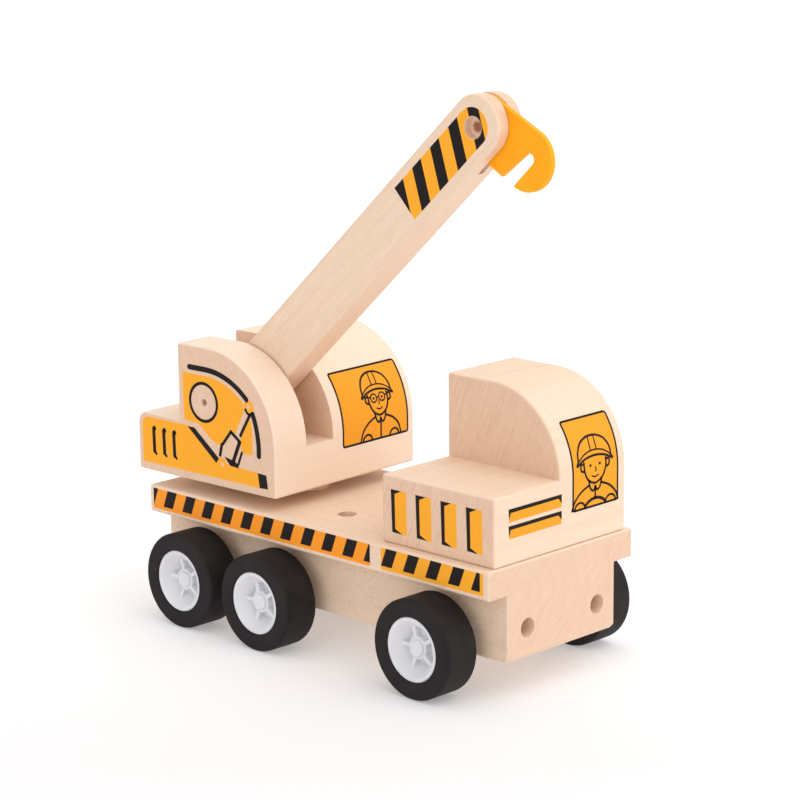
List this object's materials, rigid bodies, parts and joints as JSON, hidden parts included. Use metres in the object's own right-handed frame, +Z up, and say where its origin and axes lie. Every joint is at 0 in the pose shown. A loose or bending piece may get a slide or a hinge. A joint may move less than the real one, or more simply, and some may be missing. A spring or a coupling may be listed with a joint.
{
  "type": "toy mobile crane",
  "caption": "Wooden toy truck crane: block chassis on rubber-tyred wheels, rounded cab, slewing turret, luffing boom with a flat plastic hook.",
  "frame": {"origin": "on the ground, under the middle of the whole crane's box at rest", "axes": "+X forwards, towards the cab end; +Y the truck's left; +Z up"},
  "size_m": [0.1744, 0.0908, 0.194],
  "materials": {
    "beech": "bare sanded beech, long grain with short dark flecks and printed ink panels",
    "dowel_wood": "bare beech dowel, end grain",
    "zinc": "zinc plated",
    "steel": "drawn bright steel",
    "hook_plastic": "smooth moulded plastic, slightly translucent",
    "hub_plastic": "semi-gloss moulded plastic",
    "tyre_rubber": "matte solid rubber"
  },
  "bodies": {
    "chassis": {"chassis": "beech", "cab_block": "beech", "cab_dowels": "dowel_wood", "turret_spacer": "beech"},
    "turret": {"turret_block": "beech", "slew_dowel": "dowel_wood", "slew_washer": "zinc", "slew_screw": "zinc", "boom_pivot_dowel": "dowel_wood"},
    "boom": {"boom": "beech", "hook_pin": "dowel_wood"},
    "hook": {"hook": "hook_plastic"},
    "rear_wheelset": {"rear_axle": "steel", "rear_left_hub": "hub_plastic", "rear_left_tyre": "tyre_rubber", "rear_right_hub": "hub_plastic", "rear_right_tyre": "tyre_rubber"},
    "middle_wheelset": {"middle_axle": "steel", "middle_left_hub": "hub_plastic", "middle_left_tyre": "tyre_rubber", "middle_right_hub": "hub_plastic", "middle_right_tyre": "tyre_rubber"},
    "front_wheelset": {"front_axle": "steel", "front_left_hub": "hub_plastic", "front_left_tyre": "tyre_rubber", "front_right_hub": "hub_plastic", "front_right_tyre": "tyre_rubber"}
  },
  "joints": [
    {"name": "turret_slew", "type": "hinge", "parent": "chassis", "child": "turret", "pos_m": [-0.03457, 0, 0.0511], "axis": [0, 0, 1], "continuous": true},
    {"name": "boom_luff", "type": "hinge", "parent": "turret", "child": "boom", "pos_m": [-0.05135, -0.01224, 0.0803], "axis": [0.0349, -0.9994, 0], "range_deg": [-43, 105]},
    {"name": "hook_swing", "type": "hinge", "parent": "boom", "child": "hook", "pos_m": [0.05901, -0.00839, 0.18328], "axis": [0.0349, -0.9994, 0], "range_deg": [-29, 168]},
    {"name": "rear_axle_spin", "type": "hinge", "parent": "chassis", "child": "rear_wheelset", "pos_m": [-0.05417, 0, 0.017], "axis": [0, 1, 0], "continuous": true},
    {"name": "middle_axle_spin", "type": "hinge", "parent": "chassis", "child": "middle_wheelset", "pos_m": [-0.01507, 0, 0.017], "axis": [0, 1, 0], "continuous": true},
    {"name": "front_axle_spin", "type": "hinge", "parent": "chassis", "child": "front_wheelset", "pos_m": [0.05963, 0, 0.017], "axis": [0, 1, 0], "continuous": true}
  ]
}
